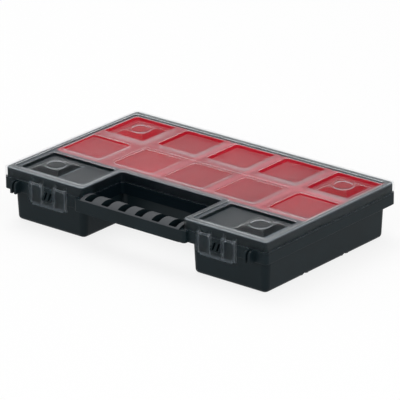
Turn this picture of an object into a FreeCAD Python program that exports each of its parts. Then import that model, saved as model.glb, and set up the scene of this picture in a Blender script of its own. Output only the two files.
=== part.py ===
import FreeCAD, Part
import math
import os

from FreeCAD import Vector

# Compartment organizer case: a drafted tray with a handle moulded across a front recess, a clear
# hinged lid, two clear latches and six loose boxes.
# Millimetres. X runs along the length, Y from the handle to the hinges, Z up.
# The origin is the middle of the flat face that the tray rests on.

# Overall case
case_length = 390.0
case_depth = 242.0
case_height = 68.0
corner_radius = 5.0
wing_width = 120.5
recess_depth = 71.2
recess_radius = 4.0

# Tray: the band under the lid, the ledge, the upstand inside the lid and the tub below
lid_skirt = 13.0
band_height = 15.0
band_wall = 2.2
band_foot_radius = 0.9
band_top_radius = 0.4
ledge_step = 2.2
upstand_gap = 0.4
upstand_edge_radius = 0.5
tub_wall = 2.0
tub_floor = 2.2
tub_draft = 3.0
tub_corner = 8.0
tub_foot_radius = 5.0
cavity_foot_radius = 4.0
divider_wall = 4.0
cover_lap = 1.0
pocket_inset = 5.5
channel_rib = 1.6
channel_rib_pitch = 37.6
channel_rib_rise = 3.5
groove_half_width = 4.5
groove_height = 3.6
groove_wall = 1.8

# Grid of boxes
columns = 5
rows = 2
grid_to_side = 7.0
grid_to_back = 8.7
recess_to_grid = 12.1
grid_play = 0.3
box_gap = 0.8
box_wall = 1.2
box_lip_height = 3.0
box_lip_overhang = 0.8
box_corner = 5.0
box_foot_radius = 3.6
box_floor_radius = 2.2
box_rim_radius = 0.4
box_draft = 3.0
box_lip_room = 0.5
box_ridge_play = 0.3

# Lid
lid_wall = 1.6
lid_plate = 1.2
lid_edge_radius = 2.2
lid_step_radius = 0.6
field_drop = 1.7
field_play = 0.4
field_back_play = 1.5
rim_play = 0.3
window_depth = 4.3
window_side_depth = 2.7
label_depth = 0.5
window_label_depth = 1.5
window_wall = 1.0
window_draft = 8.0
window_radius = 4.0
window_floor_radius = 0.8
window_foot_radius = 2.0
window_size = 58.0
window_corner_size = 62.0
window_outer_margin = 4.2
window_inner_margin = 9.4
front_window_side_margin = 6.0
front_window_end_margin = 4.8

# Stacking bosses in the corner windows
boss_to_side = 43.0
boss_base = 47.2
boss_top = 29.0
boss_edge_radius = 1.0
collar_radius = 14.0
collar_bore = 10.8
collar_height = 0.6
collar_edge_radius = 0.25
collar_recess = 1.0

# Handle
handle_proud = 6.0
handle_depth = 26.0
handle_overlap = 8.0
handle_rise = 4.0
handle_skin = 2.0
handle_web = 1.8
handle_end_radius = 4.0
handle_edge_radius = 0.8
grip_ridge = 14.0
grip_ridges = 5
grip_pocket_radius = 1.5
grip_end_gap = 1.0
grip_end_wall = 5.5

# Latches and their catches
latch_to_side = 69.8
latch_outer_rib = 26.3
latch_inner_rib = 9.3
latch_rib = 2.0
latch_proud = 4.4
latch_axis_proud = 2.35
latch_axis_drop = 10.6
latch_bar_radius = 1.3
latch_bore_clearance = 0.06
latch_clearance = 0.3
latch_panel = 1.5
latch_window_bottom = 27.8
latch_window_arch = 1.2
latch_length = 36.0
latch_foot_chamfer = 5.5
latch_foot_lift = 1.0
latch_lip = 1.6
latch_lip_height = 3.0
latch_ear_room = 0.2
ear_width = 1.6
ear_radius = 2.3
ear_web_rise = 4.6
gusset_proud = 2.05
gusset_top_drop = 4.5
gusset_gap = 0.1
catch_width = 14.0
catch_proud = 5.0
catch_nose = 2.2
catch_drop = 17.0
catch_foot_drop = 27.3
catch_slot = 3.0
catch_slot_pitch = 6.4
catch_slot_floor = 1.2
catch_slot_roof = 1.2

# Lugs at the front corners
lug_to_side = 21.3
lug_fin = 2.8
lug_pitch = 5.8
lug_proud = 8.8
lug_height = 14.2
lug_drop = 0.6
lug_radius = 5.0
lug_slot_end = 2.0

# Hinges
hinge_to_side = 69.8
hinge_pin_radius = 1.5
hinge_pin_clearance = 0.06
hinge_pin_chamfer = 0.3
hinge_barrel_radius = 3.2
hinge_barrel_gap = 0.4
hinge_lid_width = 22.0
hinge_ear_width = 9.0
hinge_side_gap = 0.3
hinge_ear_drop = 11.0
hinge_web_rise = 8.0

# Overlap that joins solids which are united, and how far a cut runs past the face that it opens
bond = 0.2
overcut = 1.0
# Largest difference between lengths that count as the same
same = 0.001

# Heights
split_z = case_height - lid_skirt
band_z = split_z - band_height
field_z = case_height - field_drop
field_under_z = field_z - lid_plate
label_z = field_z - label_depth
upstand_z = case_height - lid_plate - upstand_gap
rim_z = label_z - lid_plate - rim_play
lip_recess_z = rim_z - box_lip_height - box_lip_room

# Plan of the case: half sizes and the recess
half_x = case_length / 2
half_y = case_depth / 2
recess_x = half_x - wing_width
recess_y = recess_depth - half_y

# Plan of the grid and of the cavities
cell_x = (case_length - 2 * grid_to_side) / columns
cell_y = (case_depth - grid_to_back - recess_depth - recess_to_grid) / rows
grid_x = columns * cell_x / 2
grid_back = half_y - grid_to_back
grid_front = grid_back - rows * cell_y
cavity_x = grid_x + grid_play
cavity_back = grid_back + grid_play
cavity_front = grid_front - grid_play
wall_x = cavity_x - box_lip_overhang
wall_back = cavity_back - box_lip_overhang
wall_front = cavity_front + box_lip_overhang
pocket_back = cavity_front - divider_wall
pocket_x = recess_x + pocket_inset
pocket_middle = (pocket_back - wall_back) / 2
cover_y = pocket_back - cover_lap

# Places along the length
latch_offset = half_x - latch_to_side
hinge_offset = half_x - hinge_to_side
lug_offset = half_x - lug_to_side
boss_offset = half_x - boss_to_side

# Grip
arch_end = recess_x - grip_end_gap
grip_gap = (2 * (arch_end - grip_end_wall) - grip_ridges * grip_ridge) / (grip_ridges + 1)
grip_pitch = grip_ridge + grip_gap


def slope(angle, height):
    """Sideways run of a face that leans by angle over height."""
    return math.tan(math.radians(angle)) * height


def rectangle(x0, x1, y0, y1, radius):
    """Corners of a rounded rectangle as (x, y, radius), anticlockwise."""
    return [(x0, y0, radius), (x1, y0, radius), (x1, y1, radius), (x0, y1, radius)]


def square(x, y, side, radius):
    """Corners of a rounded square about a point."""
    half = side / 2
    return rectangle(x - half, x + half, y - half, y + half, radius)


def c_plan(out_x, back_y, front_y, in_x, in_y, outer, inner):
    """Corners of a rectangle with a recess in the middle of its front."""
    return [
        (-out_x, front_y, outer), (-in_x, front_y, outer), (-in_x, in_y, inner), (in_x, in_y, inner),
        (in_x, front_y, outer), (out_x, front_y, outer), (out_x, back_y, outer), (-out_x, back_y, outer),
    ]


def grown(corners, outset):
    """Corners moved outwards by outset, each round about the same centre as before."""
    moved = []
    for i in range(len(corners)):
        x, y, radius = corners[i]
        next_x, next_y, _ = corners[(i + 1) % len(corners)]
        come = Vector(x - corners[i - 1][0], y - corners[i - 1][1], 0).normalize()
        leave = Vector(next_x - x, next_y - y, 0).normalize()
        turn = come.cross(leave).z
        x += (come.y + leave.y) * outset
        y -= (come.x + leave.x) * outset
        moved.append((x, y, max(radius + turn * outset, 0.0) if radius > 0 else 0.0))
    return moved


def bends(corners, z):
    """Start, end, centre and signed sweep in degrees of the round at each corner, at height z."""
    found = []
    for i in range(len(corners)):
        x, y, radius = corners[i]
        here = Vector(x, y, z)
        ahead = corners[(i + 1) % len(corners)]
        come = (here - Vector(corners[i - 1][0], corners[i - 1][1], z)).normalize()
        leave = (Vector(ahead[0], ahead[1], z) - here).normalize()
        side = math.copysign(1.0, come.cross(leave).z)
        sweep = come.getAngle(leave)
        reach = radius * math.tan(sweep / 2)
        start = here - come * reach
        centre = start + Vector(-come.y, come.x, 0) * radius * side
        found.append((start, here + leave * reach, centre, side * math.degrees(sweep)))
    return found


def rounded_wire(corners, z):
    """Closed wire at height z along an outline with rounded corners."""
    rounds = bends(corners, z)
    edges = []
    for i in range(len(rounds)):
        start, end, centre, _ = rounds[i]
        radius = corners[i][2]
        if radius > 0:
            outwards = (Vector(corners[i][0], corners[i][1], z) - centre).normalize()
            edges.append(Part.Arc(start, centre + outwards * radius, end).toShape())
        following = rounds[(i + 1) % len(rounds)][0]
        edges.append(Part.LineSegment(end, following).toShape())
    return Part.Wire(edges)


def prism(corners, z0, z1):
    """Upright solid between two heights."""
    return Part.Face(rounded_wire(corners, z0)).extrude(Vector(0, 0, z1 - z0))


def tapered(lower, upper, z0, z1):
    """Solid between two outlines whose rounds have the same centres: flat walls and conical corners."""
    low = bends(lower, z0)
    high = bends(upper, z1)
    faces = [Part.Face(rounded_wire(upper, z1))]
    for i in range(len(low)):
        ahead = (i + 1) % len(low)
        corner = [low[i][1], low[ahead][0], high[ahead][0], high[i][1]]
        faces.append(Part.Face(Part.makePolygon(corner + corner[:1])))
        if lower[i][2] > 0:
            line = Part.makeLine(low[i][0], high[i][0])
            faces.append(line.revolve(low[i][2], Vector(0, 0, 1), low[i][3]))
    faces.append(Part.Face(rounded_wire(lower, z0)))
    shell = Part.Shell(faces)
    shell.sewShape()
    return Part.Solid(shell)


def drafted(corners, z, z0, z1, angle):
    """Solid between two heights whose walls lean outwards by angle and pass the outline at height z."""
    return tapered(grown(corners, slope(angle, z0 - z)), grown(corners, slope(angle, z1 - z)), z0, z1)


def slab(x0, x1, y0, y1, z0, z1):
    """Box between two corners."""
    return Part.makeBox(x1 - x0, y1 - y0, z1 - z0, Vector(x0, y0, z0))


def side_prism(points, x0, x1):
    """Solid between x0 and x1 with a straight-sided outline in Y and Z."""
    wire = Part.makePolygon([Vector(x0, y, z) for y, z in points + points[:1]])
    return Part.Face(wire).extrude(Vector(x1 - x0, 0, 0))


def rod(radius, x0, x1, y, z):
    """Round bar along X."""
    return Part.makeCylinder(radius, x1 - x0, Vector(x0, y, z), Vector(1, 0, 0))


def join(shapes):
    """Unite shapes into one clean solid."""
    return shapes[0].multiFuse(shapes[1:]).removeSplitter()


def cut(shape, tools):
    """Take several tools away from a shape."""
    return shape.cut(Part.makeCompound(tools))


def level_edges(shape, z):
    """Edges that lie flat at height z."""
    found = []
    for edge in shape.Edges:
        box = edge.BoundBox
        if abs(box.ZMin - z) < same and abs(box.ZMax - z) < same:
            found.append(edge)
    return found


def edges_along(shape, corners, z):
    """Edges that run along an outline at height z."""
    outline = rounded_wire(corners, z)
    found = []
    for edge in level_edges(shape, z):
        middle = edge.valueAt((edge.FirstParameter + edge.LastParameter) / 2)
        if Part.Vertex(middle).distToShape(outline)[0] < same:
            found.append(edge)
    return found


def hollow_form(corners, foot):
    """Drafted hollow from the tub floor to above the upstand, rounded along its floor."""
    form = drafted(corners, upstand_z, tub_floor, upstand_z + overcut, tub_draft)
    return form.makeFillet(foot, level_edges(form, tub_floor))


def tub_form(outset, z0, z1):
    """Tub between two heights, with walls that stand outset away from the cavities."""
    inner = recess_radius + tub_wall
    plan = c_plan(wall_x, wall_back, -wall_back, pocket_x, wall_front + tub_wall - divider_wall,
                  tub_corner, inner)
    return drafted(grown(plan, outset), upstand_z, z0, z1, tub_draft)


def case_plan(inset):
    """Outline of the case moved inwards by inset."""
    plan = c_plan(half_x, half_y, -half_y, recess_x, recess_y, corner_radius, recess_radius)
    return grown(plan, -inset)


def floor_groove(y, top, reach):
    """Round bar along X whose back stands up to the height top, as wide as the groove at its foot."""
    groove_radius = (groove_half_width ** 2 + groove_height ** 2) / (2 * groove_height)
    return rod(groove_radius + top - groove_height, -reach, reach, y, groove_height - groove_radius)


def channel_ribs():
    """Thin ribs across the open channel between the band and the tub."""
    low = band_z + channel_rib_rise
    high = split_z - band_wall + bond
    plates = []
    half = channel_rib / 2
    count_x = int((half_x - corner_radius) / channel_rib_pitch)
    for i in range(-count_x, count_x + 1):
        x = i * channel_rib_pitch
        plates.append(slab(x - half, x + half, -half_y, half_y, low, high))
    count_y = int((half_y - corner_radius) / channel_rib_pitch)
    for i in range(-count_y, count_y + 1):
        y = i * channel_rib_pitch
        plates.append(slab(-half_x, half_x, y - half, y + half, low, high))
    return prism(case_plan(band_wall / 2), low, high).common(Part.makeCompound(plates))


def handle_arch(drop, x0, x1):
    """Solid of the arched grip between x0 and x1, its top lowered by drop."""
    front = -half_y - handle_proud + drop
    back = -half_y - handle_proud + handle_depth - drop
    shoulder = split_z - drop
    low = band_z
    mid = (front + back) / 2
    edges = [
        Part.LineSegment(Vector(x0, front, low), Vector(x0, front, shoulder)).toShape(),
        Part.Arc(Vector(x0, front, shoulder), Vector(x0, mid, shoulder + handle_rise),
                 Vector(x0, back, shoulder)).toShape(),
        Part.LineSegment(Vector(x0, back, shoulder), Vector(x0, back, low)).toShape(),
        Part.LineSegment(Vector(x0, back, low), Vector(x0, front, low)).toShape(),
    ]
    return Part.Face(Part.Wire(edges)).extrude(Vector(x1 - x0, 0, 0))


def handle_body():
    """Bar across the recess with its front plate, before the grip is hollowed."""
    front = -half_y - handle_proud
    half = recess_x + handle_overlap
    plan = rectangle(-half, half, front, front + handle_depth, handle_end_radius)
    plate = prism(plan, band_z, split_z)
    plate = plate.makeFillet(handle_edge_radius, level_edges(plate, band_z) + level_edges(plate, split_z))
    plate = plate.common(slab(-half, half, front, bond - half_y, band_z, split_z))
    low_bar = slab(-recess_x - bond, recess_x + bond, bond - half_y - handle_proud / 2,
                   front + handle_depth, band_z, split_z)
    return join([plate, low_bar, handle_arch(0.0, -arch_end, arch_end)])


def grip_hollows():
    """Pockets open above between the ridges, and hollows open below under them."""
    front = -half_y - handle_proud + handle_skin
    back = -half_y - handle_proud + handle_depth - handle_skin
    tools = []
    first = -grip_pitch * (grip_ridges - 1) / 2
    half_ridge = grip_ridge / 2
    for i in range(grip_ridges):
        middle = first + i * grip_pitch
        tools.append(handle_arch(handle_skin, middle - half_ridge + handle_web,
                                 middle + half_ridge - handle_web).translate(Vector(0, 0, -bond)))
    for i in range(grip_ridges + 1):
        x0 = first - half_ridge - grip_gap + i * grip_pitch
        plan = rectangle(x0, x0 + grip_gap, front, back, grip_pocket_radius)
        tools.append(prism(plan, band_z + handle_skin, split_z + handle_rise + overcut))
    return tools


def catch(side):
    """Wedge that the latch's window drops over, with two slots through the band."""
    x = side * latch_offset
    half = catch_width / 2
    top = case_height - catch_drop
    foot = case_height - catch_foot_drop
    nose = -half_y - catch_proud
    root = bond - half_y
    wedge = side_prism([(root, top), (-half_y, top), (nose, foot + catch_nose), (nose, foot),
                        (root, foot)], x - half, x + half)
    slots = []
    for place in (-0.5, 0.5):
        middle = x + place * catch_slot_pitch
        slots.append(slab(middle - catch_slot / 2, middle + catch_slot / 2, nose - overcut,
                          band_wall + bond - half_y, foot + catch_slot_floor, top - catch_slot_roof))
    return wedge, slots


def lug(side):
    """Pair of round-shouldered fins on the band near a front corner, with a slot between them."""
    x = side * lug_offset
    high = split_z - lug_drop
    low = high - lug_height
    nose = -half_y - lug_proud
    fins = []
    for place in (-0.5, 0.5):
        middle = x + place * lug_pitch
        fin = slab(middle - lug_fin / 2, middle + lug_fin / 2, nose, bond - half_y, low, high)
        shoulder = []
        for edge in level_edges(fin, high):
            if edge.BoundBox.YMax < nose + same:
                shoulder.append(edge)
        fins.append(fin.makeFillet(lug_radius, shoulder))
    slot_half = (lug_pitch - lug_fin) / 2
    slot = slab(x - slot_half, x + slot_half, -half_y - overcut, band_wall + bond - half_y,
                low + lug_slot_end, high - lug_slot_end)
    return fins, slot


def hinge_axis():
    """Y and Z of the hinge axis: behind the case, level with the split."""
    return half_y + hinge_barrel_radius + hinge_barrel_gap, split_z


def tray_hinge(side):
    """Two ears on the band that hold the hinge pin, and their bores."""
    y, z = hinge_axis()
    radius = hinge_barrel_radius
    ears = []
    inner = hinge_lid_width / 2 + hinge_side_gap
    for place in (-1, 1):
        edge_a = side * hinge_offset + place * inner
        edge_b = edge_a + place * hinge_ear_width
        x0 = min(edge_a, edge_b)
        x1 = max(edge_a, edge_b)
        web = side_prism([(half_y - bond, z - hinge_ear_drop), (half_y, z - hinge_ear_drop),
                          (y + radius, z), (y, z), (y, z - hinge_barrel_gap),
                          (half_y - bond, z - hinge_barrel_gap)], x0, x1)
        ears.append(web)
        ears.append(rod(radius, x0, x1, y, z))
    reach = inner + hinge_ear_width + overcut
    bore = rod(hinge_pin_radius, side * hinge_offset - reach, side * hinge_offset + reach, y, z)
    return ears, bore


def band():
    """Band that the lid's skirt stands on, rounded along both outer edges and open below."""
    shape = prism(case_plan(0.0), band_z, split_z)
    shape = shape.makeFillet(band_foot_radius, level_edges(shape, band_z))
    shape = shape.makeFillet(band_top_radius, level_edges(shape, split_z))
    return shape.cut(prism(case_plan(band_wall), band_z - overcut, split_z - band_wall))


def base_tray():
    """Tub, band, ledge and upstand in one moulding, with handle, catches, lugs and hinge ears."""
    tub = tub_form(tub_wall, 0.0, split_z)
    tub = tub.makeFillet(tub_foot_radius, level_edges(tub, 0.0))
    upstand = prism(case_plan(ledge_step), split_z - bond, upstand_z)
    upstand = upstand.makeFillet(upstand_edge_radius, level_edges(upstand, upstand_z))
    handle = cut(handle_body(), grip_hollows())
    solids = [tub, band(), upstand, channel_ribs(), handle]
    holes = []
    for side in (-1, 1):
        wedge, slots = catch(side)
        fins, slot = lug(side)
        ears, bore = tray_hinge(side)
        solids += [wedge] + fins + ears
        holes += slots + [slot, bore]
    body = join(solids)
    main = hollow_form(rectangle(-wall_x, wall_x, wall_front, wall_back, tub_corner),
                       cavity_foot_radius)
    lip_recess = prism(rectangle(-cavity_x, cavity_x, cavity_front, cavity_back, box_corner),
                       lip_recess_z, case_height)
    over_dividers = prism(c_plan(cavity_x, cavity_back, -cavity_back, pocket_x, cover_y,
                                 box_corner, box_corner), rim_z, case_height)
    pockets = []
    for side in (-1, 1):
        x0 = min(side * pocket_x, side * wall_x)
        x1 = max(side * pocket_x, side * wall_x)
        pockets.append(hollow_form(rectangle(x0, x1, -wall_back, pocket_back, tub_corner),
                                   cavity_foot_radius))
    body = cut(body, [main, lip_recess, over_dividers] + pockets + holes)
    ridges = []
    grooves = []
    inside = tub_form(tub_wall / 2, tub_floor / 2, split_z)
    for row in range(1, rows + 1):
        y = grid_back - row * cell_y
        ridges.append(floor_groove(y, groove_height + groove_wall, half_x).common(inside))
        grooves.append(floor_groove(y, groove_height, half_x))
    return cut(join([body] + ridges), grooves)


def box(column, row, wide, deep):
    """Loose box that fills wide by deep cells from the given column and row."""
    x0 = -grid_x + column * cell_x + box_gap / 2
    x1 = x0 + wide * cell_x - box_gap
    y1 = grid_back - row * cell_y - box_gap / 2
    y0 = y1 - deep * cell_y + box_gap
    rim = rectangle(x0, x1, y0, y1, box_corner)
    lip = prism(rim, rim_z - box_lip_height, rim_z)
    side = box_lip_overhang
    radius = tub_corner - grid_play - box_gap / 2
    wall = rectangle(x0 + side, x1 - side, y0 + side, y1 - side, radius)
    body = drafted(wall, rim_z, tub_floor, rim_z, box_draft)
    body = body.makeFillet(box_foot_radius, level_edges(body, tub_floor))
    floor_z = tub_floor + box_wall
    hollow = drafted(grown(wall, -box_wall), rim_z, floor_z, rim_z, box_draft)
    hollow = hollow.makeFillet(box_floor_radius, level_edges(hollow, floor_z))
    shape = join([body, lip])
    if deep > 1:
        y = grid_back - (row + 1) * cell_y
        over_ridge = groove_height + groove_wall + box_ridge_play
        hollow = hollow.cut(floor_groove(y, over_ridge + box_wall, half_x))
        shape = shape.cut(floor_groove(y, over_ridge, half_x))
    shape = shape.cut(hollow)
    return shape.makeFillet(box_rim_radius, level_edges(shape, rim_z))


def cup(corners, depth, top):
    """Drafted window sunk below the height top: the outer form and the hollow taken from it."""
    low = top - depth
    hollow = drafted(corners, top, low, top + overcut, window_draft)
    hollow = hollow.makeFillet(min(window_floor_radius, depth / 2), level_edges(hollow, low))
    outer = drafted(grown(corners, window_wall), top, low - lid_plate, top, window_draft)
    outer = outer.makeFillet(min(window_foot_radius, depth / 2), level_edges(outer, low - lid_plate))
    return outer, hollow


def deep_windows():
    """Sunk windows in the field as (corners, depth): over the boxes, then over the front pockets."""
    windows = []
    back = grid_back - window_outer_margin
    front = grid_back - cell_y - window_inner_margin
    for side in (-1, 1):
        edge = side * (grid_x - window_outer_margin)
        for size, y1, depth in ((window_corner_size, back, window_depth),
                                (window_size, front, window_side_depth)):
            x0 = min(edge, edge - side * size)
            windows.append((rectangle(x0, x0 + size, y1 - size, y1, window_radius), depth))
    half = window_size / 2
    for column in range(1, columns - 1):
        x = (column + 0.5) * cell_x - grid_x
        windows.append((rectangle(x - half, x + half, back - window_size, back, window_radius),
                        window_depth))
    for side in (-1, 1):
        edge_a = side * (pocket_x + front_window_side_margin)
        edge_b = side * (wall_x - front_window_side_margin)
        windows.append((rectangle(min(edge_a, edge_b), max(edge_a, edge_b),
                                  front_window_end_margin - wall_back,
                                  pocket_back - front_window_end_margin, window_radius), window_depth))
    return windows


def label_windows():
    """Shallow recess over the middle of the front row, and the windows sunk in it: (corners, depth)."""
    front = grid_back - cell_y - window_inner_margin
    half = (columns - 2) * cell_x / 2 - window_inner_margin + window_outer_margin
    recess = rectangle(-half, half, front - window_size, front + window_inner_margin - window_outer_margin,
                       window_radius)
    half = window_size / 2
    windows = []
    for column in range(1, columns - 1):
        x = (column + 0.5) * cell_x - grid_x
        windows.append((rectangle(x - half, x + half, front - window_size, front, window_radius),
                        window_label_depth - label_depth))
    return recess, windows


def boss(x, y):
    """Stacking boss in a corner window: its form and the hollow under it, the collar, the cup and its well."""
    low = field_z - window_depth
    forms = []
    for drop in (0.0, lid_plate):
        form = tapered(square(x, y, boss_base + 2 * (bond - drop), 0.0),
                       square(x, y, boss_top - 2 * drop, 0.0), low - bond - drop, field_z - drop)
        rims = [edge for edge in form.Edges if edge.BoundBox.ZMax > field_z - drop - same]
        forms.append(form.makeFillet(boss_edge_radius, rims))
    foot_z = field_z - collar_recess
    collar = Part.makeCylinder(collar_radius, collar_height + bond, Vector(x, y, field_z - bond))
    collar = collar.makeFillet(collar_edge_radius, level_edges(collar, field_z + collar_height))
    cup_form = Part.makeCylinder(collar_bore + window_wall, collar_recess + lid_plate,
                                 Vector(x, y, foot_z - lid_plate))
    well = Part.makeCylinder(collar_bore, collar_recess + collar_height + overcut, Vector(x, y, foot_z))
    return forms[0], forms[1], collar, cup_form, well


def latch_axis():
    """Y and Z of the latch axis, in front of the lid's skirt."""
    return -half_y - latch_axis_proud, case_height - latch_axis_drop


def lid_ears(side):
    """Pointed gussets over the latch's ribs, bored ears beside them, and what is cut from them."""
    y, z = latch_axis()
    x = side * latch_offset
    root = bond - half_y
    top = case_height - gusset_top_drop
    foot = z + ear_radius + gusset_gap
    solids = []
    for rib, inward in ((latch_outer_rib, -1), (latch_inner_rib, 1)):
        for hand in (-1, 1):
            middle = x + hand * rib
            half = latch_rib / 2
            solids.append(side_prism([(root, top), (-half_y, top), (-half_y - gusset_proud, foot),
                                      (root, foot)], middle - half, middle + half))
            near = middle + hand * inward * (half + latch_clearance)
            far = near + hand * inward * ear_width
            x0 = min(near, far)
            x1 = max(near, far)
            solids.append(rod(ear_radius, x0, x1, y, z))
            solids.append(side_prism([(root, z - ear_radius), (y, z - ear_radius), (y, z + ear_radius),
                                      (-half_y, z + ear_web_rise), (root, z + ear_web_rise)], x0, x1))
    bore_radius = latch_bar_radius + latch_bore_clearance
    bore = rod(bore_radius, x - latch_outer_rib, x + latch_outer_rib, y, z)
    return solids, bore


def lid_hinge(side):
    """Barrel on the lid's back skirt between the tray's ears, and its bore."""
    y, z = hinge_axis()
    x0 = side * hinge_offset - hinge_lid_width / 2
    x1 = side * hinge_offset + hinge_lid_width / 2
    radius = hinge_barrel_radius
    web = side_prism([(half_y - bond, z + hinge_barrel_gap), (y, z + hinge_barrel_gap), (y, z + radius),
                      (half_y, z + hinge_web_rise), (half_y - bond, z + hinge_web_rise)], x0, x1)
    bore = rod(hinge_pin_radius + hinge_pin_clearance, x0 - overcut, x1 + overcut, y, z)
    return [web, rod(radius, x0, x1, y, z)], bore


def lid():
    """Clear cover: skirt, raised rim, sunk field with windows, bosses, latch ears and barrels."""
    shell = prism(case_plan(0.0), split_z, case_height)
    shell = shell.makeFillet(lid_edge_radius, level_edges(shell, case_height))
    shell = shell.cut(prism(case_plan(lid_wall), split_z - overcut, case_height - lid_plate))
    field_back = cavity_back - field_back_play
    field_plan = c_plan(cavity_x - field_play, field_back, field_play - cavity_back,
                        pocket_x + field_play, cover_y + field_play, box_corner, box_corner)
    plate = prism(field_plan, field_under_z, case_height - lid_plate + bond)
    sunk_plan = grown(field_plan, -lid_plate)
    sunk = prism(sunk_plan, field_z, case_height + overcut)
    label_recess, label_cups = label_windows()
    cups = [cup(label_recess, label_depth, field_z)]
    rims = [(sunk_plan, case_height)]
    for corners, depth in deep_windows():
        cups.append(cup(corners, depth, field_z))
        rims.append((corners, field_z))
    for corners, depth in label_cups:
        cups.append(cup(corners, depth, label_z))
    outers = [outer for outer, _ in cups]
    hollows = [hollow for _, hollow in cups]
    solids = [shell, plate] + outers
    bores = []
    for side in (-1, 1):
        ears, bore = lid_ears(side)
        barrel, pin_bore = lid_hinge(side)
        solids += ears + barrel
        bores += [bore, pin_bore]
    body = cut(join(solids), [sunk] + hollows + bores)
    for corners, z in rims:
        body = body.makeFillet(lid_step_radius, edges_along(body, corners, z))
    back_y = grid_back - window_outer_margin - window_corner_size / 2
    forms = []
    unders = []
    collars = []
    wells = []
    for side in (-1, 1):
        for y in (back_y, pocket_middle):
            form, under, collar, cup_form, well = boss(side * boss_offset, y)
            forms.append(form)
            unders.append(under)
            collars += [collar, cup_form]
            wells.append(well)
    body = cut(join([body] + forms), unders)
    return cut(join([body] + collars), wells)


def latch(side):
    """Clear clip: two bars in the lid's ears, four ribs, side panels and a lip below the window."""
    y, z = latch_axis()
    x = side * latch_offset
    inner = -half_y - latch_clearance
    outer = inner - latch_panel
    face = -half_y - latch_proud
    foot = case_height - latch_length
    shoulder = foot + latch_foot_chamfer
    panel_foot = foot + latch_foot_lift
    half = latch_rib / 2
    radius = latch_axis_proud - latch_clearance
    solids = []
    for rib in (-latch_outer_rib, -latch_inner_rib, latch_inner_rib, latch_outer_rib):
        x0 = x + rib - half
        x1 = x + rib + half
        solids.append(side_prism([(inner, z), (face, z), (face, shoulder), (outer, panel_foot),
                                  (inner, panel_foot)], x0, x1))
        solids.append(rod(radius, x0, x1, y, z))
    gap = ear_width + 2 * latch_clearance + bond
    ear_foot = z - ear_radius - latch_clearance - latch_ear_room
    for hand in (-1, 1):
        rib_in = x + hand * (latch_inner_rib + half - bond)
        rib_out = x + hand * (latch_outer_rib - half + bond)
        x0 = min(rib_in, rib_out)
        x1 = max(rib_in, rib_out)
        solids.append(slab(x0, x1, outer, inner, panel_foot, ear_foot))
        solids.append(rod(latch_bar_radius, x0, x1, y, z))
        solids.append(slab(x0 + gap, x1 - gap, outer, inner, ear_foot - bond, z))
    edge_x = latch_outer_rib + half
    chamfer = latch_foot_chamfer - latch_foot_lift
    sill = case_height - latch_window_bottom
    spring = sill - latch_window_arch
    arch_x = latch_inner_rib - half + bond
    lip = slab(x - edge_x, x + edge_x, outer, inner, foot, spring)
    corners = []
    for edge in lip.Edges:
        bounds = edge.BoundBox
        if bounds.YLength > latch_panel / 2 and bounds.XLength < same and bounds.ZMax < foot + same:
            corners.append(edge)
    lip = lip.makeChamfer(chamfer, corners)
    left = Vector(x - arch_x, inner, spring)
    right = Vector(x + arch_x, inner, spring)
    top = Part.Arc(left, Vector(x, inner, sill), right).toShape()
    arch = Part.Face(Part.Wire([top, Part.LineSegment(right, left).toShape()]))
    arch = arch.extrude(Vector(0, -latch_panel, 0))
    flare = side_prism([(inner, foot), (outer, foot + latch_lip_height), (outer - latch_lip, foot)],
                       x - edge_x + chamfer, x + edge_x - chamfer)
    return join(solids + [lip, arch, flare])


def hinge_pin(side):
    """Steel pin through the tray's ears and the lid's barrel, with a small chamfer at each end."""
    y, z = hinge_axis()
    reach = hinge_lid_width / 2 + hinge_side_gap + hinge_ear_width
    pin = rod(hinge_pin_radius, side * hinge_offset - reach, side * hinge_offset + reach, y, z)
    ends = [edge for edge in pin.Edges if edge.BoundBox.XLength < same]
    return pin.makeChamfer(hinge_pin_chamfer, ends)


def build():
    """Every piece of the case by its name."""
    pieces = {
        "base_tray": base_tray(),
        "lid": lid(),
        "box_large": box(0, 0, 2, 2),
        "box_long": box(2, 0, 1, 2),
    }
    number = 1
    for row in (0, 1):
        for column in (3, 4):
            pieces["box_small_%d" % number] = box(column, row, 1, 1)
            number += 1
    for side, name in ((-1, "left"), (1, "right")):
        pieces["latch_" + name] = latch(side)
        pieces["hinge_pin_" + name] = hinge_pin(side)
    return pieces


def main():
    """Write one STEP file for each piece."""
    os.makedirs("parts", exist_ok=True)
    for name, shape in build().items():
        solids = shape.Solids
        print(name, "solids", len(solids), "valid", shape.isValid(), "volume", round(shape.Volume, 1))
        if len(solids) == 1:
            shape = solids[0]
        shape.exportStep("parts/%s.step" % name)


main()
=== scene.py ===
import logging
import math
from dataclasses import dataclass, field
from enum import Enum
from typing import Any, Iterable, Optional, Protocol, Union

import bpy
import numpy as np
from mathutils import Matrix, Vector


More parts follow.
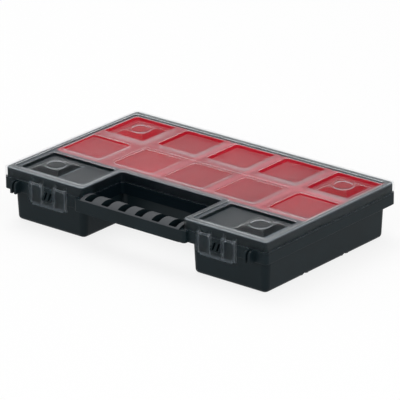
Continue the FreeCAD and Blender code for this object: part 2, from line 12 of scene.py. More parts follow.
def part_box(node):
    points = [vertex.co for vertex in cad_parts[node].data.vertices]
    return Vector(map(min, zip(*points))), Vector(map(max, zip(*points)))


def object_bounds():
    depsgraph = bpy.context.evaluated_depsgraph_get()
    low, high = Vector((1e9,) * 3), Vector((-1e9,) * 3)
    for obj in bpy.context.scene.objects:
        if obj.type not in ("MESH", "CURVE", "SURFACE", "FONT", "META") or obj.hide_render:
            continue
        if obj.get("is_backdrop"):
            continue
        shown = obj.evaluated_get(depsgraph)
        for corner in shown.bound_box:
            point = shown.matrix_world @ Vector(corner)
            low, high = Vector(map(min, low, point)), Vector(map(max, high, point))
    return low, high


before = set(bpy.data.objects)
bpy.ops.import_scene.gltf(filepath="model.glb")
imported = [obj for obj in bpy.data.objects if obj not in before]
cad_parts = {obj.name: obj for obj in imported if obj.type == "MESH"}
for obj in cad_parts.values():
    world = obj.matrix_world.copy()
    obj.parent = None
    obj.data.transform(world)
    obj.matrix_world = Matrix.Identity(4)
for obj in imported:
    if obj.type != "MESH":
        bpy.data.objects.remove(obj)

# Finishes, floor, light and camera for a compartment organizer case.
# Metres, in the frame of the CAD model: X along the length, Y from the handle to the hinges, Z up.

log = logging.getLogger("organizer_case")

Colour = tuple[float, float, float]
Point = tuple[float, float, float]
Number = Union[int, float]
Span = tuple[float, float]

WHITE: Colour = (1.0, 1.0, 1.0)
UNSTRETCHED: Point = (1.0, 1.0, 1.0)


class Ray(Enum):
    """Kinds of ray that a material or the world tells apart, by their name on the Light Path node."""

    CAMERA = "Is Camera Ray"
    SHADOW = "Is Shadow Ray"
    DIFFUSE = "Is Diffuse Ray"
    GLOSSY = "Is Glossy Ray"
    TRANSMISSION = "Is Transmission Ray"


@dataclass(frozen=True)
class Noise:
    """Settings of one noise on the object's own coordinates.

    Attributes:
        scale: waves per metre.
        detail: octaves.
        rough: share that each octave keeps.
        stretch: factor on each axis before the noise is read.
    """

    scale: float
    detail: float = 2.0
    rough: float = 0.5
    stretch: Point = UNSTRETCHED


@dataclass(frozen=True)
class Relief:
    """How a height tilts the normal.

    Attributes:
        depth: depth in metres that height 1 stands for.
        strength: share of the tilt that is used.
    """

    depth: float
    strength: float


class Value:
    """A socket that carries one number, with Python's operators on it."""

    def __init__(self, graph: "Graph", socket: bpy.types.NodeSocket) -> None:
        """Wraps a socket.

        Args:
            graph: graph that the socket's node is in.
            socket: output socket that gives the number.
        """
        self.graph = graph
        self.socket = socket

    def _maths(self, operation: str, *terms: Union["Value", Number]) -> "Value":
        """Adds one Math node on the terms.

        Args:
            operation: name of the Math node's operation.
            terms: values or numbers for the node's inputs, in their order.

        Returns:
            The node's result.
        """
        made = self.graph.node("ShaderNodeMath", {"operation": operation}, dict(enumerate(terms)))
        return Value(self.graph, made.outputs[0])

    def __add__(self, other: Union["Value", Number]) -> "Value":
        """Sum of the two."""
        return self._maths("ADD", self, other)

    def __radd__(self, other: Number) -> "Value":
        """Sum of the two."""
        return self._maths("ADD", other, self)

    def __sub__(self, other: Union["Value", Number]) -> "Value":
        """This value less the other."""
        return self._maths("SUBTRACT", self, other)

    def __rsub__(self, other: Number) -> "Value":
        """The other less this value."""
        return self._maths("SUBTRACT", other, self)

    def __mul__(self, other: Union["Value", Number]) -> "Value":
        """Product of the two."""
        return self._maths("MULTIPLY", self, other)

    def __rmul__(self, other: Number) -> "Value":
        """Product of the two."""
        return self._maths("MULTIPLY", other, self)

    def __abs__(self) -> "Value":
        """Value without its sign."""
        return self._maths("ABSOLUTE", self)

    def over(self, limit: Number) -> "Value":
        """1 where the value is more than the limit, 0 elsewhere."""
        return self._maths("GREATER_THAN", self, limit)

    def within(self, limit: Number) -> "Value":
        """1 where the value is the limit or less, 0 elsewhere."""
        return 1.0 - self.over(limit)

    def near(self, level: Number, reach: Number) -> "Value":
        """1 where the value is within reach of the level, 0 elsewhere."""
        return abs(self - level).within(reach)

    def largest(self, other: Union["Value", Number]) -> "Value":
        """The larger of the two."""
        return self._maths("MAXIMUM", self, other)

    def smooth(self, low: Number, high: Number) -> "Value":
        """Rises smoothly from 0 at low to 1 at high.

        Args:
            low: value at which the result leaves 0.
            high: value at which the result reaches 1.

        Returns:
            The eased share of the way from low to high.
        """
        made = self.graph.node("ShaderNodeMapRange", {"interpolation_type": "SMOOTHSTEP"},
                               {"Value": self, "From Min": low, "From Max": high})
        return Value(self.graph, made.outputs["Result"])


class Graph:
    """Node tree of a material or of the world, filled one node at a time."""

    BEVEL_SAMPLES = 6
    EDGE_BEND: Span = (0.02, 0.25)

    def __init__(self, owner: Union[bpy.types.Material, bpy.types.World]) -> None:
        """Clears the owner's nodes and starts an empty graph.

        Args:
            owner: material or world whose nodes are made.
        """
        owner.use_nodes = True
        self.tree = owner.node_tree
        self.tree.nodes.clear()
        self._shared: dict[str, bpy.types.Node] = {}

    def node(self, kind: str, settings: Optional[dict[str, Any]] = None,
             inputs: Optional[dict[Union[str, int], Any]] = None) -> bpy.types.Node:
        """Adds a node, sets its settings, then its sockets.

        Args:
            kind: type name of the node.
            settings: properties of the node.
            inputs: constant, socket or Value for each named or numbered input.

        Returns:
            The node.
        """
        made = self.tree.nodes.new(kind)
        for name, value in (settings or {}).items():
            setattr(made, name, value)
        for name, value in (inputs or {}).items():
            self._feed(made.inputs[name], value)
        return made

    def _feed(self, socket: bpy.types.NodeSocket, value: Any) -> None:
        """Links or sets one input socket.

        Args:
            socket: input socket.
            value: Value or socket that it is linked to, or constant that it is set to.
        """
        if isinstance(value, Value):
            self.tree.links.new(value.socket, socket)
        elif isinstance(value, bpy.types.NodeSocket):
            self.tree.links.new(value, socket)
        elif isinstance(value, tuple) and socket.type == "RGBA":
            socket.default_value = (*value, 1.0)
        else:
            socket.default_value = value

    def shared(self, kind: str) -> bpy.types.Node:
        """The one node of a kind without settings, such as Texture Coordinate."""
        if kind not in self._shared:
            self._shared[kind] = self.node(kind)
        return self._shared[kind]

    def place(self) -> bpy.types.NodeSocket:
        """Place on the object, in its own frame."""
        return self.shared("ShaderNodeTexCoord").outputs["Object"]

    def along(self, axis: str, vector: Optional[bpy.types.NodeSocket] = None) -> Value:
        """One coordinate of a vector, or of the place on the object.

        Args:
            axis: "X", "Y" or "Z".
            vector: vector socket, or None for the place on the object.

        Returns:
            The coordinate.
        """
        split = self.node("ShaderNodeSeparateXYZ", {}, {0: vector or self.place()})
        return Value(self, split.outputs[axis])

    def upward(self) -> Value:
        """How far the surface faces the object's own top, from -1 to 1."""
        return self.along("Z", self.shared("ShaderNodeTexCoord").outputs["Normal"])

    def ray(self, *kinds: Ray) -> Value:
        """1 for a ray of any of the kinds, 0 for others."""
        outputs = self.shared("ShaderNodeLightPath").outputs
        first, *others = (Value(self, outputs[kind.value]) for kind in kinds)
        for other in others:
            first = first.largest(other)
        return first

    def noise(self, noise: Noise) -> Value:
        """Noise on the object's own coordinates.

        Args:
            noise: its settings.

        Returns:
            Noise from 0 to 1.
        """
        place = self.place()
        if noise.stretch != UNSTRETCHED:
            mapped = self.node("ShaderNodeMapping", {}, {"Vector": place, "Scale": noise.stretch})
            place = mapped.outputs[0]
        made = self.node("ShaderNodeTexNoise", {}, {
            "Vector": place, "Scale": noise.scale, "Detail": noise.detail, "Roughness": noise.rough})
        return Value(self, made.outputs[0])

    def mix(self, factor: Value, low: Any, high: Any) -> bpy.types.NodeSocket:
        """Colour between low, at factor 0, and high, at factor 1.

        Args:
            factor: share of the high colour.
            low: colour or colour socket.
            high: colour or colour socket.

        Returns:
            The mixed colour.
        """
        made = self.node("ShaderNodeMix", {"data_type": "RGBA"}, {0: factor, 6: low, 7: high})
        return made.outputs[2]

    def blend(self, factor: Value, low: bpy.types.Node, high: bpy.types.Node) -> bpy.types.Node:
        """Shader between low, at factor 0, and high, at factor 1.

        Args:
            factor: share of the high shader.
            low: shader node.
            high: shader node.

        Returns:
            The Mix Shader node.
        """
        return self.node("ShaderNodeMixShader", {}, {
            0: factor, 1: low.outputs[0], 2: high.outputs[0]})

    def soft_edges(self, radius: float) -> tuple[bpy.types.NodeSocket, Value]:
        """Normal rounded over the edges, and how strongly the surface bends there.

        Args:
            radius: radius of the rounding in metres.

        Returns:
            The rounded normal and a mask that is 1 along edges.
        """
        rounded = self.node("ShaderNodeBevel", {"samples": self.BEVEL_SAMPLES},
                            {"Radius": radius}).outputs[0]
        flat = self.shared("ShaderNodeNewGeometry").outputs["Normal"]
        meet = self.node("ShaderNodeVectorMath", {"operation": "DOT_PRODUCT"}, {0: rounded, 1: flat})
        bend = 1.0 - Value(self, meet.outputs["Value"])
        return rounded, bend.smooth(*self.EDGE_BEND)

    def bump(self, height: Value, relief: Relief,
             normal: Optional[bpy.types.NodeSocket] = None) -> bpy.types.NodeSocket:
        """Normal tilted by a height.

        Args:
            height: height from 0 to 1.
            relief: how deep the height is and how much of it is used.
            normal: normal that is tilted, or None for the surface's own.

        Returns:
            The tilted normal.
        """
        inputs = {"Height": height, "Distance": relief.depth, "Strength": relief.strength}
        if normal is not None:
            inputs["Normal"] = normal
        return self.node("ShaderNodeBump", {}, inputs).outputs[0]

    def surface(self, shader: bpy.types.Node) -> None:
        """Ends the graph in a shader."""
        world = shader.type == "BACKGROUND"
        kind = "ShaderNodeOutputWorld" if world else "ShaderNodeOutputMaterial"
        self.node(kind, {}, {"Surface": shader.outputs[0]})


def new_material(name: str) -> tuple[bpy.types.Material, Graph]:
    """Empty material and its graph."""
    material = bpy.data.materials.new(name)
    return material, Graph(material)


class Finish(Protocol):
    """Anything that builds a material."""

    def material(self) -> bpy.types.Material:
        """Builds the material."""


@dataclass(frozen=True)
class MouldedBlack:
    """Black moulded plastic: fine grain, slight mottling, painted highlights on the edges and on the
    tops of the grip's ridges, painted shade in the hand opening.

    Attributes:
        name: name of the material.
        dark: colour of the dark mottles.
        light: colour of the light mottles.
        cloud: noise of the mottles.
        cloud_share: share of that noise in the mottles; the rest is grain.
        mottle_span: noise at which the mottles turn from dark to light.
        grain: noise of the grain.
        grain_relief: depth of the grain.
        edge_glint: colour of the painted highlight that is mixed in along the edges.
        edge_glint_share: share of that painted highlight.
        edge_radius: radius of the softened edges in metres.
        index: refractive index.
        shine: level of the reflections.
        rough_low: lowest roughness.
        rough_grain: roughness that the grain adds.
        rough_cloud: roughness that the mottles add.
        rough_edge: roughness that an edge takes away.
        grip_highlight: colour of the painted highlight on the up-facing tops of the grip's ridges.
        grip_turn: how far a face looks up where that painted highlight begins and is full.
        grip_even: even share of that painted highlight.
        grip_mottle: share of it that the mottles add.
        grip_half: half length of the grip.
        grip_foot: height above which that painted highlight is used.
        opening_half: half length of the hand opening.
        opening_front: Y of its front.
        opening_back: Y of its back.
        shade_tone: colour of the painted shade on the walls in the hand opening.
        shade_rough: roughness of those walls.
        shade_share: share of that painted shade in their finish.
    """

    name: str = "tray_black"
    dark: Colour = (0.0038, 0.0086, 0.0110)
    light: Colour = (0.0062, 0.0132, 0.0168)
    cloud: Noise = Noise(22.0, 4.0, 0.6)
    cloud_share: float = 0.7
    mottle_span: Span = (0.3, 0.7)
    grain: Noise = Noise(2600.0)
    grain_relief: Relief = Relief(0.00004, 0.35)
    edge_glint: Colour = (0.03, 0.036, 0.04)
    edge_glint_share: float = 0.35
    edge_radius: float = 0.0004
    index: float = 1.5
    shine: float = 0.12
    rough_low: float = 0.36
    rough_grain: float = 0.16
    rough_cloud: float = 0.06
    rough_edge: float = 0.08
    grip_highlight: Colour = (0.055, 0.060, 0.066)
    grip_turn: Span = (0.2, 0.6)
    grip_even: float = 0.8
    grip_mottle: float = 0.3
    grip_half: float = 0.0745
    grip_foot: float = 0.0552
    opening_half: float = 0.0795
    opening_front: float = -0.0995
    opening_back: float = -0.0425
    shade_tone: Colour = (0.0026, 0.0056, 0.0080)
    shade_rough: float = 0.6
    shade_share: float = 0.9

    def grip_highlight_mask(self, graph: Graph) -> Value:
        """1 on the tops of the grip's ridges, where a highlight is painted, 0 elsewhere.

        Args:
            graph: graph of the material.

        Returns:
            The mask.
        """
        tops = graph.upward().smooth(*self.grip_turn) * graph.along("Z").over(self.grip_foot)
        handle = graph.along("Y").within(self.opening_front)
        return tops * handle * abs(graph.along("X")).within(self.grip_half)

    def opening_shade_mask(self, graph: Graph) -> Value:
        """1 in the hand opening, where shade is painted, 0 elsewhere.

        Args:
            graph: graph of the material.

        Returns:
            The mask.
        """
        place = graph.along("Y")
        depth = place.over(self.opening_front) * place.within(self.opening_back)
        return depth * abs(graph.along("X")).within(self.opening_half)

    def material(self) -> bpy.types.Material:
        """Builds the material.

        Returns:
            A material for Object coordinates in metres.
        """
        material, graph = new_material(self.name)
        grain, cloud = graph.noise(self.grain), graph.noise(self.cloud)
        normal, edge = graph.soft_edges(self.edge_radius)
        mottle = cloud * self.cloud_share + grain * (1.0 - self.cloud_share)
        tone = graph.mix(mottle.smooth(*self.mottle_span), self.dark, self.light)
        # Painted highlight on the up-facing tops of the grip's ridges.
        grip = self.grip_highlight_mask(graph) * (cloud * self.grip_mottle + self.grip_even)
        tone = graph.mix(grip, tone, self.grip_highlight)
        rough = self.rough_low + grain * self.rough_grain + cloud * self.rough_cloud
        shader = graph.node("ShaderNodeBsdfPrincipled", {}, {
            # Painted highlight: a paler colour mixed in along the edges.
            "Base Color": graph.mix(edge * self.edge_glint_share, tone, self.edge_glint),
            "Roughness": rough - edge * self.rough_edge,
            "IOR": self.index,
            "Specular IOR Level": self.shine,
            "Normal": graph.bump(grain, self.grain_relief, normal)})
        # Painted shade: a dull dark finish mixed into the walls of the hand opening.
        shade = graph.node("ShaderNodeBsdfPrincipled", {}, {
            "Base Color": self.shade_tone,
            "Roughness": self.shade_rough,
            "IOR": self.index,
            "Specular IOR Level": 0.0})
        graph.surface(graph.blend(self.opening_shade_mask(graph) * self.shade_share, shader, shade))
        return material


@dataclass(frozen=True)
class RedPlastic:
    """Red moulded plastic, satin, with a slight change of tone and a fine grain.

    Attributes:
        name: name of the material.
        dark: colour of the dark mottles.
        light: colour of the light mottles.
        cloud: noise of the mottles.
        mottle_span: noise at which the mottles turn from dark to light.
        grain: noise of the grain.
        grain_relief: depth of the grain.
        edge_radius: radius of the softened edges in metres.
        index: refractive index.
        rough_low: lowest roughness.
        rough_grain: roughness that the grain adds.
        rough_edge: roughness that an edge takes away.
    """

    name: str = "box_red"
    dark: Colour = (0.575, 0.006, 0.026)
    light: Colour = (0.685, 0.011, 0.038)
    cloud: Noise = Noise(16.0, 3.0)
    mottle_span: Span = (0.3, 0.7)
    grain: Noise = Noise(1500.0)
    grain_relief: Relief = Relief(0.00005, 0.3)
    edge_radius: float = 0.0005
    index: float = 1.49
    rough_low: float = 0.26
    rough_grain: float = 0.14
    rough_edge: float = 0.05

    def material(self) -> bpy.types.Material:
        """Builds the material.

        Returns:
            A material for Object coordinates in metres.
        """
        material, graph = new_material(self.name)
        grain, cloud = graph.noise(self.grain), graph.noise(self.cloud)
        normal, edge = graph.soft_edges(self.edge_radius)
        graph.surface(graph.node("ShaderNodeBsdfPrincipled", {}, {
            "Base Color": graph.mix(cloud.smooth(*self.mottle_span), self.dark, self.light),
            "Roughness": self.rough_low + grain * self.rough_grain - edge * self.rough_edge,
            "IOR": self.index,
            "Normal": graph.bump(grain, self.grain_relief, normal)}))
        return material


@dataclass(frozen=True)
class BossMarks:
    """Where the lid's stacking bosses stand, and how their sloped sides and feet look.

    Attributes:
        across: X of the bosses' middles, on both sides.
        middle: Y halfway between the front and the back bosses.
        half_span: half the distance between the front and the back bosses.
        collar_foot: height at which the collar on a boss begins.
        foot: distance from a boss's middle to the foot of its sides.
        crown: distance from a boss's middle to the top of its sides.
        side_turn: how far its sides face up.
        side_spread: how far from that a face may be and still counts as a side.
        line: half width of the painted highlight line along its foot.
        foot_highlight_share: share of white in that painted highlight line.
        frost_and_sheen_share: share of the lid's frost and painted sheen that its own flats keep.
        well_shade_tint: darker tint painted as shade on what stands upright inside its crown.
    """

    across: float
    middle: float
    half_span: float
    collar_foot: float
    foot: float = 0.0233
    crown: float = 0.0152
    side_turn: float = 0.9063
    side_spread: float = 0.024
    line: float = 0.0006
    foot_highlight_share: float = 0.30
    frost_and_sheen_share: float = 0.2
    well_shade_tint: Colour = (0.62, 0.66, 0.70)

    def square(self, graph: Graph) -> Value:
        """How far a place is from the middle of the nearest boss, along X or Y, whichever is more.

        Args:
            graph: graph of the material.

        Returns:
            The distance in metres.
        """
        sideways = abs(abs(graph.along("X")) - self.across)
        lengthways = abs(abs(graph.along("Y") - self.middle) - self.half_span)
        return sideways.largest(lengthways)

    def thin_frost_and_sheen(self, graph: Graph) -> Value:
        """Share of the frost and painted sheen that a place keeps: all outside the bosses and little on
        them.

        Args:
            graph: graph of the material.

        Returns:
            The share, from 0 to 1.
        """
        outside = self.square(graph).over(self.foot)
        return outside * (1.0 - self.frost_and_sheen_share) + self.frost_and_sheen_share

    def boss_highlights(self, graph: Graph, light: Value) -> Value:
        """Takes the painted highlight lines off a boss's well and adds a painted highlight line along
        its foot.

        Args:
            graph: graph of the material.
            light: share of white painted as highlight along the edges.

        Returns:
            The new share, from 0 to 1.
        """
        square = self.square(graph)
        well = square.within(self.crown) * graph.along("Z").within(self.collar_foot)
        side = graph.upward().near(self.side_turn, self.side_spread)
        # Painted highlight: a white line along the foot of each boss's sloped sides.
        foot = square.near(self.foot, self.line) * side
        return (light * (1.0 - well)).largest(foot * self.foot_highlight_share)


@dataclass(frozen=True)
class ClearPlastic:
    """Clear moulded plastic with frost and a painted white sheen on its flats, and painted highlights
    along its edges.

    Attributes:
        name: name of the material.
        wall_tint: tint of upright walls.
        flat_tint: tint of flats.
        flat_turn: how far a face looks up or down where a flat begins and is full.
        index: refractive index; a low one reflects less of the white room.
        clear_rough: roughness.
        flow: noise of the slow waves in the surface.
        flow_relief: depth of the waves.
        flow_rough: roughness that the waves add.
        frost_and_sheen: height of each frosted level, and the share of painted white sheen on it.
        frost_rough: roughness that the frost on a level adds.
        level_reach: how far from its height a level is still found.
        flat_sheen: share of painted white sheen on every flat.
        edge_radius: radius of the rounding that finds the edges for the painted highlights, in metres.
        edge_highlight_share: share of white painted as highlight along the edges.
        edge_zone: heights between which no edge takes a painted highlight, or None.
        shoulder_highlight_share: share of white painted as highlight on rounded shoulders.
        shoulder_low: how far a face looks up where a shoulder begins and is full.
        shoulder_high: how far it looks up where a shoulder fades and ends.
        slope_turn: how far the lid's sloped sides look up, which are no shoulders.
        slope_spread: how far from that a face may be and still counts as a slope.
        bosses: stacking bosses, or None.
        sheen_and_highlight_white: colour of the painted sheen and of the painted edge highlights.
        white_rough: roughness of that white.
        lamp_tint: share of a lamp's light that passes, by colour.
    """

    name: str
    wall_tint: Colour = (0.975, 0.98, 0.98)
    flat_tint: Colour = (0.92, 0.925, 0.93)
    flat_turn: Span = (0.75, 0.97)
    index: float = 1.09
    clear_rough: float = 0.285
    flow: Noise = Noise(14.0)
    flow_relief: Relief = Relief(0.00005, 0.25)
    flow_rough: float = 0.02
    frost_and_sheen: tuple[Span, ...] = ()
    frost_rough: float = 0.03
    level_reach: float = 0.0002
    flat_sheen: float = 0.0
    edge_radius: float = 0.00035
    edge_highlight_share: float = 0.38
    edge_zone: Optional[Span] = None
    shoulder_highlight_share: float = 0.14
    shoulder_low: Span = (0.25, 0.5)
    shoulder_high: Span = (0.985, 0.998)
    slope_turn: float = 0.9063
    slope_spread: float = 0.012
    bosses: Optional[BossMarks] = None
    sheen_and_highlight_white: Colour = (0.66, 0.76, 0.86)
    white_rough: float = 0.3
    lamp_tint: Colour = (0.98, 0.98, 0.98)

    def frost_and_sheen_masks(self, graph: Graph, flat: Value) -> tuple[Value, Value]:
        """Where the flats are frosted and carry a painted white sheen, both thin on the bosses.

        Args:
            graph: graph of the material.
            flat: 1 where the surface lies flat.

        Returns:
            A mask of the frosted levels, and the share of painted white sheen on every flat.
        """
        height = graph.along("Z")
        if self.bosses:
            flat = flat * self.bosses.thin_frost_and_sheen(graph)
        mask: Union[Value, float] = 0.0
        share = flat * self.flat_sheen
        for level, amount in self.frost_and_sheen:
            here = height.near(level, self.level_reach) * flat
            mask = here + mask
            share = here * amount + share
        return mask, share

    def edge_highlights(self, graph: Graph) -> Value:
        """Share of white painted as highlight along the edges, the rounded shoulders and the feet of
        the bosses.

        Args:
            graph: graph of the material.

        Returns:
            The share, from 0 to 1.
        """
        turned = graph.upward()
        _, edge = graph.soft_edges(self.edge_radius)
        shoulder = turned.smooth(*self.shoulder_low) * (1.0 - turned.smooth(*self.shoulder_high))
        shoulder = shoulder * (1.0 - turned.near(self.slope_turn, self.slope_spread))
        if self.edge_zone:
            low, high = self.edge_zone
            height = graph.along("Z")
            above = height.over(high)
            edge = edge * above.largest(height.within(low))
            shoulder = shoulder * above
        # Painted highlights: white along the edges and on the rounded shoulders.
        light = (edge * self.edge_highlight_share).largest(shoulder * self.shoulder_highlight_share)
        return self.bosses.boss_highlights(graph, light) if self.bosses else light

    def tint(self, graph: Graph, flat: Value) -> bpy.types.NodeSocket:
        """Tint of the walls and the flats, with painted shade on what stands upright inside the bosses'
        crowns.

        Args:
            graph: graph of the material.
            flat: 1 where the surface lies flat.

        Returns:
            The tint.
        """
        tint = graph.mix(flat, self.wall_tint, self.flat_tint)
        if self.bosses:
            # Painted shade: a darker tint on what stands upright inside the bosses' crowns.
            crown = self.bosses.square(graph).within(self.bosses.crown)
            tint = graph.mix(crown * (1.0 - flat), tint, self.bosses.well_shade_tint)
        return tint

    def material(self) -> bpy.types.Material:
        """Builds the material; light from the lamps passes straight through it.

        Returns:
            A material for Object coordinates in metres.
        """
        material, graph = new_material(self.name)
        flat = abs(graph.upward()).smooth(*self.flat_turn)
        flow = graph.noise(self.flow)
        mask, share = self.frost_and_sheen_masks(graph, flat)
        glass = graph.node("ShaderNodeBsdfPrincipled", {}, {
            "Base Color": self.tint(graph, flat),
            "Roughness": mask * self.frost_rough + flow * self.flow_rough + self.clear_rough,
            "IOR": self.index,
            "Transmission Weight": 1.0,
            "Normal": graph.bump(flow, self.flow_relief)})
        # Painted sheen and painted highlights: a white layer mixed over the clear plastic on flats,
        # edges and shoulders.
        white = graph.node("ShaderNodeBsdfPrincipled", {}, {
            "Base Color": self.sheen_and_highlight_white,
            "Roughness": self.white_rough,
            "IOR": self.index})
        body = graph.blend(self.edge_highlights(graph).largest(share), glass, white)
        through = graph.node("ShaderNodeBsdfTransparent", {}, {"Color": self.lamp_tint})
        graph.surface(graph.blend(graph.ray(Ray.SHADOW, Ray.DIFFUSE), body, through))
        return material


@dataclass(frozen=True)
class DrawnWire:
    """Steel wire with fine marks along its length.

    Attributes:
        name: name of the material.
        dark: darkest colour of the marks.
        light: lightest colour of the marks.
        draw: noise of the marks, drawn out along X.
        draw_relief: depth of the marks.
        rough_low: lowest roughness.
        rough_draw: roughness that the marks add.
    """

    name: str = "pin_steel"
    dark: Colour = (0.42, 0.42, 0.43)
    light: Colour = (0.62, 0.62, 0.61)
    draw: Noise = Noise(3000.0, 3.0, 0.6, (0.02, 1.0, 1.0))
    draw_relief: Relief = Relief(0.00002, 0.3)
    rough_low: float = 0.22
    rough_draw: float = 0.2

    def material(self) -> bpy.types.Material:
        """Builds the material.

        Returns:
            A material for Object coordinates in metres.
        """
        material, graph = new_material(self.name)
        draw = graph.noise(self.draw)
        graph.surface(graph.node("ShaderNodeBsdfPrincipled", {}, {
            "Base Color": graph.mix(draw, self.dark, self.light),
            "Metallic": 1.0,
            "Roughness": draw * self.rough_draw + self.rough_low,
            "Normal": graph.bump(draw, self.draw_relief)}))
        return material


@dataclass(frozen=True)
class PaleFloor:
    """White floor that keeps the object's shadow and is nearly white to the camera.

    Attributes:
        name: name of the material.
        colour: lightest colour.
        shade: darkest colour.
        cloud: noise between the two.
        rough: roughness.
        glow: share of even white that the camera, reflections and clear plastic see.
    """

    name: str = "studio_floor"
    colour: Colour = (0.97, 0.97, 0.97)
    shade: Colour = (0.95, 0.95, 0.95)
    cloud: Noise = Noise(3.0)
    rough: float = 0.9
    glow: float = 0.8

    def material(self) -> bpy.types.Material:
        """Builds the material.

        Returns:
            A material that mixes a matte white with a white glow for the camera.
        """
        material, graph = new_material(self.name)
        matte = graph.node("ShaderNodeBsdfPrincipled", {}, {
            "Base Color": graph.mix(graph.noise(self.cloud), self.shade, self.colour),
            "Roughness": self.rough})
        white = graph.node("ShaderNodeEmission", {}, {"Color": WHITE, "Strength": 1.0})
        seen = graph.ray(Ray.CAMERA, Ray.GLOSSY, Ray.TRANSMISSION)
        graph.surface(graph.blend(seen * self.glow, matte, white))
        return material


def dress(nodes: Iterable[str], finish: Finish) -> None:
    """Gives CAD nodes one finish on all their slots.

    Args:
        nodes: names of the CAD nodes.
        finish: finish that they share.
    """
    material = finish.material()
    for node in nodes:
        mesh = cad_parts[node].data
        if not mesh.materials:
            mesh.materials.append(material)
        for i in range(len(mesh.materials)):
            mesh.materials[i] = material
        log.info("dressed %s in %s", node, material.name)


@dataclass
class Tray:
    """Black tray with its handle, catches, lugs and hinge ears.

    Attributes:
        node: name of its CAD node.
        finish: its finish.
    """

    node: str = "base_tray"
    finish: MouldedBlack = MouldedBlack()

    def build(self) -> None:
        """Dresses the tray."""
        dress([self.node], self.finish)


@dataclass
class BoxSet:
    """Loose red boxes on the grid.

    Attributes:
        first: how the names of their CAD nodes begin.
        finish: their finish.
    """

    first: str = "box_"
    finish: RedPlastic = RedPlastic()

    def build(self) -> None:
        """Dresses every loose box."""
        dress([node for node in sorted(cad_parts) if node.startswith(self.first)], self.finish)


@dataclass
class Lid:
    """Clear lid with sunk windows and stacking bosses.

    Attributes:
        node: name of its CAD node.
        skirt: height of its skirt.
        field_drop: how far the field lies below the rim.
        label_drop: how far the shallow recess over the front row lies below the rim.
        rim_sheen: share of painted white sheen on the rim.
        field_sheen: share of painted white sheen on the field and in the shallow recess.
        flat_sheen: share of painted white sheen on every flat.
        foot_rise: how far above the skirt's foot its edge takes a painted highlight.
        rim_round: how far below the field's height edges take painted highlights.
        collar_rise: how far above the field the bosses' collars begin.
        boss_across: X of the bosses' middles, on both sides.
        boss_middle: Y halfway between the front and the back bosses.
        boss_half_span: half the distance between the front and the back bosses.
    """

    node: str = "lid"
    skirt: float = 0.013
    field_drop: float = 0.0017
    label_drop: float = 0.0022
    rim_sheen: float = 0.0
    field_sheen: float = 0.045
    flat_sheen: float = 0.02
    foot_rise: float = 0.0006
    rim_round: float = 0.0007
    collar_rise: float = 0.0002
    boss_across: float = 0.152
    boss_middle: float = 0.0001
    boss_half_span: float = 0.077

    def build(self) -> None:
        """Dresses the lid, with frost, painted white sheen and painted edge highlights at the heights
        of its own forms.
        """
        tray_top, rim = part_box("base_tray")[1].z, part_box(self.node)[1].z
        foot, sunk, label = rim - self.skirt, rim - self.field_drop, rim - self.label_drop
        bosses = BossMarks(self.boss_across, self.boss_middle, self.boss_half_span,
                           sunk + self.collar_rise)
        finish = ClearPlastic(
            "lid_clear",
            # Frost at each level, with a painted white sheen standing in for reflection.
            frost_and_sheen=((rim, self.rim_sheen), (sunk, self.field_sheen), (label, self.field_sheen)),
            flat_sheen=self.flat_sheen,
            edge_zone=(foot + self.foot_rise, sunk - self.rim_round),
            bosses=bosses)
        log.info("lid from %.4f to %.4f, tray up to %.4f", foot, rim, tray_top)
        dress([self.node], finish)


@dataclass
class Latches:
    """Clear clips at the front.

    Attributes:
        nodes: names of their CAD nodes.
        finish: their finish.
    """

    nodes: tuple[str, ...] = ("latch_left", "latch_right")
    # The clips' edges take strong painted highlights.
    finish: ClearPlastic = ClearPlastic(
        "latch_clear", flat_tint=(0.97, 0.975, 0.975), flow=Noise(60.0),
        edge_radius=0.00024, edge_highlight_share=0.9, shoulder_highlight_share=0.05)

    def build(self) -> None:
        """Dresses both clips."""
        dress(self.nodes, self.finish)


@dataclass
class HingePins:
    """Steel pins at the back.

    Attributes:
        nodes: names of their CAD nodes.
        finish: their finish.
    """

    nodes: tuple[str, ...] = ("hinge_pin_left", "hinge_pin_right")
    finish: DrawnWire = DrawnWire()

    def build(self) -> None:
        """Dresses both pins."""
        dress(self.nodes, self.finish)


@dataclass(frozen=True)
class Lamp:
    """Square soft lamp.

    Attributes:
        name: name of the lamp.
        place: where it stands, in metres.
        size: length of its sides in metres.
        power: power in watts.
    """

    name: str
    place: Point
    size: float
    power: float

    def build(self, target: Vector) -> None:
        """Adds the lamp to the scene.

        Args:
            target: place that it looks at.
        """
        data = bpy.data.lights.new(self.name, "AREA")
        data.size = self.size
        data.energy = self.power
        lamp = bpy.data.objects.new(self.name, data)
        lamp.location = self.place
        lamp.rotation_mode = "QUATERNION"
        lamp.rotation_quaternion = (target - Vector(self.place)).to_track_quat("-Z", "Y")
        bpy.context.scene.collection.objects.link(lamp)


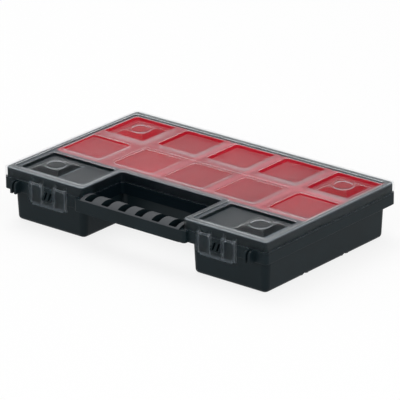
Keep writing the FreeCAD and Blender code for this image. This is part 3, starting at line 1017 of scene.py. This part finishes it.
@dataclass
class Studio:
    """White floor, soft lamps and a pale world.

    Attributes:
        floor_reach: half length of the floor's sides.
        floor_steps: points along each side of the floor.
        floor_drop: how far the floor lies below the case.
        ambient: strength of the world as light.
        lamps: the lamps.
    """

    floor_reach: float = 3.0
    floor_steps: int = 9
    floor_drop: float = 0.0002
    ambient: float = 0.5
    lamps: list[Lamp] = field(default_factory=lambda: [
        Lamp("key", (-0.9, 0.5, 2.3), 1.8, 26.0),
        Lamp("front", (0.6, -2.2, 1.3), 1.2, 14.0),
        Lamp("side", (2.2, -0.2, 1.2), 1.0, 12.0),
    ])

    def floor(self) -> None:
        """Adds the floor as a flat grid.

        x and y run evenly from minus to plus the reach, and z is minus the drop everywhere.
        """
        steps = np.linspace(-self.floor_reach, self.floor_reach, self.floor_steps)
        x, y = np.meshgrid(steps, steps, indexing="ij")
        z = np.full_like(x, -self.floor_drop)
        points = np.stack([x, y, z], axis=-1).reshape(-1, 3)
        count = self.floor_steps
        corner = (np.arange(count - 1)[:, None] * count + np.arange(count - 1)[None, :]).ravel()
        faces = np.stack([corner, corner + count, corner + count + 1, corner + 1], axis=1)
        mesh = bpy.data.meshes.new("studio_floor")
        mesh.from_pydata(points.tolist(), [], faces.tolist())
        mesh.update()
        ground = bpy.data.objects.new("studio_floor", mesh)
        bpy.context.scene.collection.objects.link(ground)
        mesh.materials.append(PaleFloor().material())
        ground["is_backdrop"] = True

    def light(self) -> None:
        """Adds the lamps, which look at the middle of the case."""
        low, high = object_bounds()
        for lamp in self.lamps:
            lamp.build((low + high) / 2)

    def world(self) -> None:
        """Adds a world that is dimmer as light than to the camera, in reflections and through glass."""
        world = bpy.data.worlds.new("studio_world")
        bpy.context.scene.world = world
        graph = Graph(world)
        seen = graph.ray(Ray.CAMERA, Ray.GLOSSY, Ray.TRANSMISSION)
        graph.surface(graph.node("ShaderNodeBackground", {}, {
            "Color": WHITE,
            "Strength": self.ambient + seen * (1.0 - self.ambient)}))

    def build(self) -> None:
        """Makes the floor, the lamps and the world, and sets how colours are shown."""
        self.floor()
        self.light()
        self.world()
        bpy.context.scene.view_settings.view_transform = "Standard"
        log.info("studio with %d lamps", len(self.lamps))


@dataclass
class PhotoCamera:
    """Camera at the place that the photograph was taken from, fitted to the case's edges.

    Attributes:
        azimuth: degrees from the front towards the right.
        elevation: degrees above the floor.
        roll: degrees that the camera leans.
        focal_pixels: focal length in pixels of the photograph.
        image_pixels: width of the photograph in pixels.
        sensor: width of the sensor in millimetres.
        shift_right: metres that the camera stands to the right of its line.
        shift_up: metres that it stands above its line.
        distance: metres from the middle of the lid's top.
    """

    azimuth: float = 39.167
    elevation: float = 21.323
    roll: float = -0.3326
    focal_pixels: float = 3770.58
    image_pixels: float = 400.0
    sensor: float = 36.0
    shift_right: float = 0.001605
    shift_up: float = -0.031243
    distance: float = 4.378267

    def build(self) -> None:
        """Places the camera against the middle of the lid's top."""
        turn, rise, roll = (math.radians(v) for v in (self.azimuth, self.elevation, self.roll))
        back = Vector((math.sin(turn) * math.cos(rise), -math.cos(turn) * math.cos(rise),
                       math.sin(rise)))
        right = (-back).cross(Vector((0.0, 0.0, 1.0))).normalized()
        up = right.cross(-back)
        across = right * math.cos(roll) + up * math.sin(roll)
        upright = up * math.cos(roll) - right * math.sin(roll)
        target = Vector((0.0, 0.0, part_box("lid")[1].z))
        shift = across * self.shift_right + upright * self.shift_up
        place = target + shift + back * self.distance
        data = bpy.data.cameras.new("photo_camera")
        data.sensor_width = self.sensor
        data.lens = self.focal_pixels / self.image_pixels * self.sensor
        camera = bpy.data.objects.new("photo_camera", data)
        axes = Matrix((across, upright, back)).transposed().to_4x4()
        camera.matrix_world = Matrix.Translation(place) @ axes
        bpy.context.scene.collection.objects.link(camera)
        bpy.context.scene.camera = camera
        log.info("camera at %s", tuple(round(v, 3) for v in place))


def main() -> None:
    """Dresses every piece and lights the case."""
    logging.basicConfig(level=logging.INFO, format="%(name)s %(message)s")
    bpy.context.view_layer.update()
    for piece in (Tray(), BoxSet(), Lid(), Latches(), HingePins(), Studio(), PhotoCamera()):
        piece.build()


if __name__ == "__main__":
    main()
